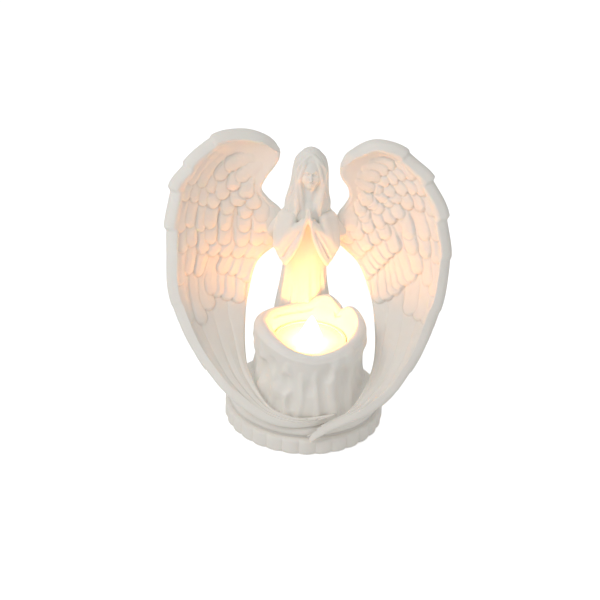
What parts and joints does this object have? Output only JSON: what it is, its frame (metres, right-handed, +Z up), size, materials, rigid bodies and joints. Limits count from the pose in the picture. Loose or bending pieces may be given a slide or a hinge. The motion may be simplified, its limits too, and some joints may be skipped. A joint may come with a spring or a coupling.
{
  "type": "angel figurine tea light holder",
  "caption": "Matte white praying angel whose tall wings wrap round a melted-candle cup with a removable battery tea light, on a round scalloped plinth.",
  "frame": {"origin": "centre of the underside, where the base pad rests on the table", "axes": "+Z up, the angel faces -Y, +X to the viewer's right when facing the angel"},
  "size_m": [0.1454, 0.089, 0.1549],
  "materials": {
    "resin": "matte, fine bisque-like resin",
    "pad": "soft white foam pad",
    "light_plastic": "satin moulded plastic",
    "flame_plastic": "translucent, lit warm from inside",
    "led_epoxy": "clear tinted epoxy",
    "switch_plastic": "black moulded plastic",
    "cell_steel": "bright nickel-plated steel",
    "contact_metal": "tinned spring steel"
  },
  "bodies": {
    "statue": {"plinth": "resin", "base_pad": "pad", "candle_cup": "resin", "angel_robe": "resin", "angel_arms": "resin", "angel_head": "resin", "wing_left": "resin", "wing_right": "resin"},
    "tealight": {"tealight_shell": "light_plastic", "tealight_base": "light_plastic", "battery_carrier": "light_plastic", "coin_cell": "cell_steel", "contact_positive": "contact_metal", "contact_negative": "contact_metal", "led_bulb": "led_epoxy", "led_leads": "contact_metal", "flame_lens": "flame_plastic"},
    "battery_hatch": {"battery_door": "light_plastic"},
    "switch": {"switch_slider": "switch_plastic", "switch_bridge": "contact_metal"}
  },
  "joints": [
    {"name": "tealight_lift", "type": "slide", "parent": "statue", "child": "tealight", "axis": [0, 0, 1], "range_m": [0, 0.032]},
    {"name": "hatch_turn", "type": "hinge", "parent": "tealight", "child": "battery_hatch", "pos_m": [0.001, -0.0048, 0.035], "axis": [0, 0, 1], "range_deg": [0, 35]},
    {"name": "switch_slide", "type": "slide", "parent": "tealight", "child": "switch", "axis": [1, 0, 0], "range_m": [0, 0.003]}
  ]
}
